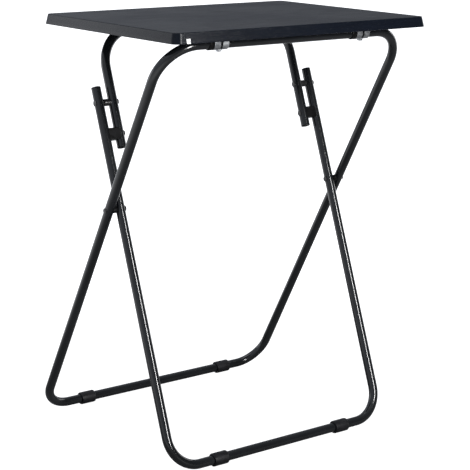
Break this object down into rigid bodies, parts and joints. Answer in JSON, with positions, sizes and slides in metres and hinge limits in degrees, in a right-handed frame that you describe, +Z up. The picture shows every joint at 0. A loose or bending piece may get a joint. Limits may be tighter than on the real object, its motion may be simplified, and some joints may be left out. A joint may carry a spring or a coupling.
{
  "type": "folding tray table",
  "caption": "Folding tray table: a flat rectangular board on crossed black tube frames that fold flat under it through a scissor pivot and a locking knee frame.",
  "frame": {"origin": "on the floor, under the middle of the open table's outline", "axes": "+X to the table's right, +Y to its back, where the closed outer frame stands, +Z up"},
  "size_m": [0.48, 0.4298, 0.684],
  "materials": {
    "tray_top": "wood board wrapped in dark blue-grey foil, fine satin grain",
    "label": "blank white sticker",
    "tube_paint": "gloss black powder coat on steel tube",
    "screw_steel": "zinc-plated screws",
    "clip_zinc": "zinc-plated sheet",
    "rivet_black": "black rivets and bushes",
    "foot_rubber": "black rubber sleeves, satin",
    "black_plastic": "moulded black plastic"
  },
  "bodies": {
    "outer_frame": {"outer_frame_tube": "tube_paint", "outer_foot_left": "foot_rubber", "outer_foot_right": "foot_rubber", "bar_collar_left": "black_plastic", "bar_collar_right": "black_plastic", "scissor_rivet_left": "rivet_black", "scissor_rivet_right": "rivet_black", "scissor_spacer_left": "black_plastic", "scissor_spacer_right": "black_plastic"},
    "tray": {"tray_board": "tray_top", "edge_label": "label", "front_clip_left": "clip_zinc", "front_clip_right": "clip_zinc", "rear_clip_left": "clip_zinc", "rear_clip_right": "clip_zinc", "front_clip_screws": "screw_steel", "rear_clip_screws": "screw_steel"},
    "inner_leg": {"inner_leg_tube": "tube_paint", "inner_foot_left": "foot_rubber", "inner_foot_right": "foot_rubber", "inner_leg_plug_left": "black_plastic", "inner_leg_plug_right": "black_plastic", "knee_rivet_left": "rivet_black", "knee_rivet_right": "rivet_black"},
    "upper_knee": {"upper_knee_tube": "tube_paint", "upper_knee_plug_left": "black_plastic", "upper_knee_plug_right": "black_plastic", "knee_bush_left": "rivet_black", "knee_bush_right": "rivet_black", "lock_saddle_left": "black_plastic", "lock_saddle_right": "black_plastic", "lock_rivet_left": "rivet_black", "lock_rivet_right": "rivet_black"}
  },
  "joints": [
    {"name": "tray_hinge", "type": "hinge", "parent": "outer_frame", "child": "tray", "pos_m": [0, -0.17005, 0.66], "axis": [-1, 0, 0], "range_deg": [0, 53.8]},
    {"name": "scissor_pivot", "type": "hinge", "parent": "outer_frame", "child": "inner_leg", "pos_m": [0, -0.01738, 0.39515], "axis": [1, 0, 0], "range_deg": [0, 50.32]},
    {"name": "knee_frame_hinge", "type": "hinge", "parent": "tray", "child": "upper_knee", "pos_m": [0, 0.08005, 0.66], "axis": [-1, 0, 0], "range_deg": [0, 62.51]}
  ],
  "couplings": [
    {"joint": "scissor_pivot", "follows": "tray_hinge", "ratio": 0.93531},
    {"joint": "knee_frame_hinge", "follows": "tray_hinge", "ratio": 1.1619}
  ]
}
